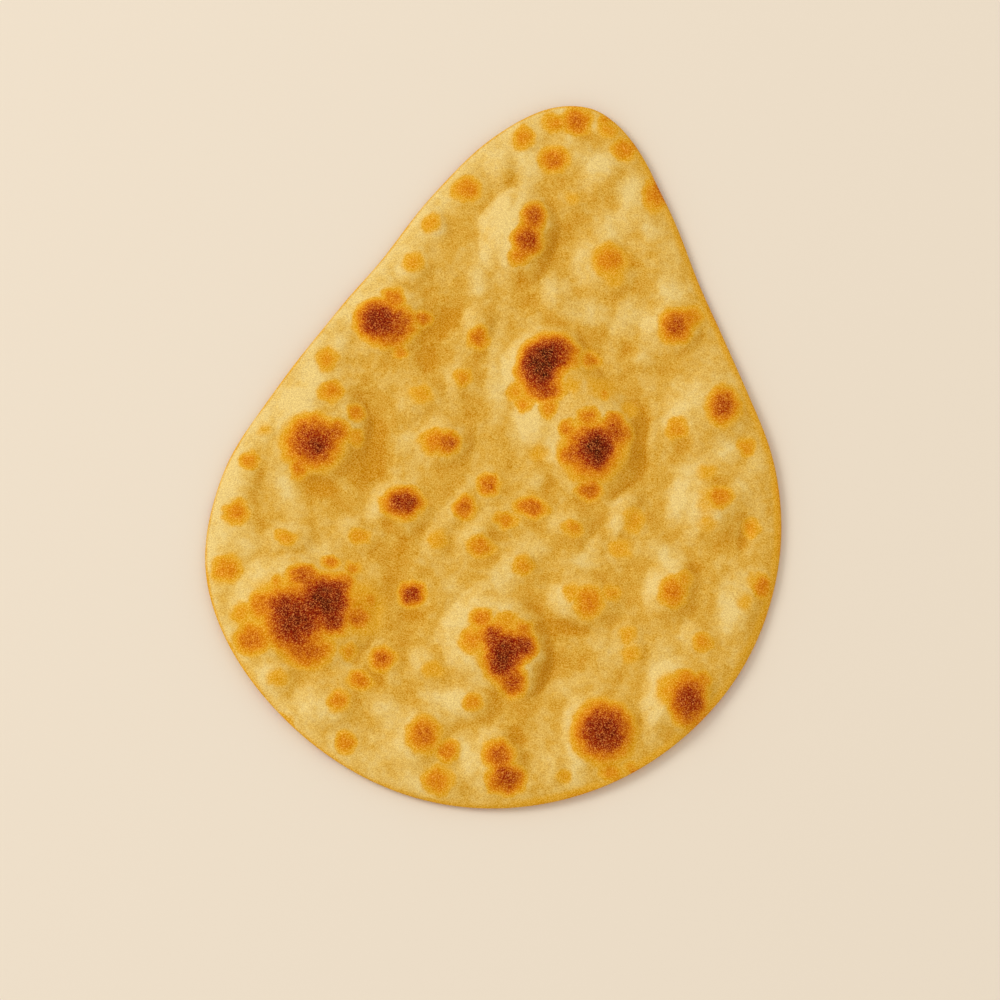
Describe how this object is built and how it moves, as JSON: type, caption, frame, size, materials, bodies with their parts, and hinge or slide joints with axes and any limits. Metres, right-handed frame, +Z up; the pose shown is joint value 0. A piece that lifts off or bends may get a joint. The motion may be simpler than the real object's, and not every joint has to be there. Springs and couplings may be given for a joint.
{
  "type": "naan bread",
  "caption": "Flat teardrop naan bread with a rounded rim, puffed blisters and scorched brown spots, lying on its flat underside.",
  "frame": {"origin": "on the resting plane, under the middle of the bounding box", "axes": "+Z up out of the blistered top, +Y towards the narrow tip, +X to the right seen from above"},
  "size_m": [0.2104, 0.2686, 0.0122],
  "materials": {
    "baked_crust": "matt baked dough, pale cream to golden ochre, with orange to dark brown scorch spots on the blisters"
  },
  "bodies": {
    "root": {"naan": "baked_crust"}
  },
  "joints": []
}
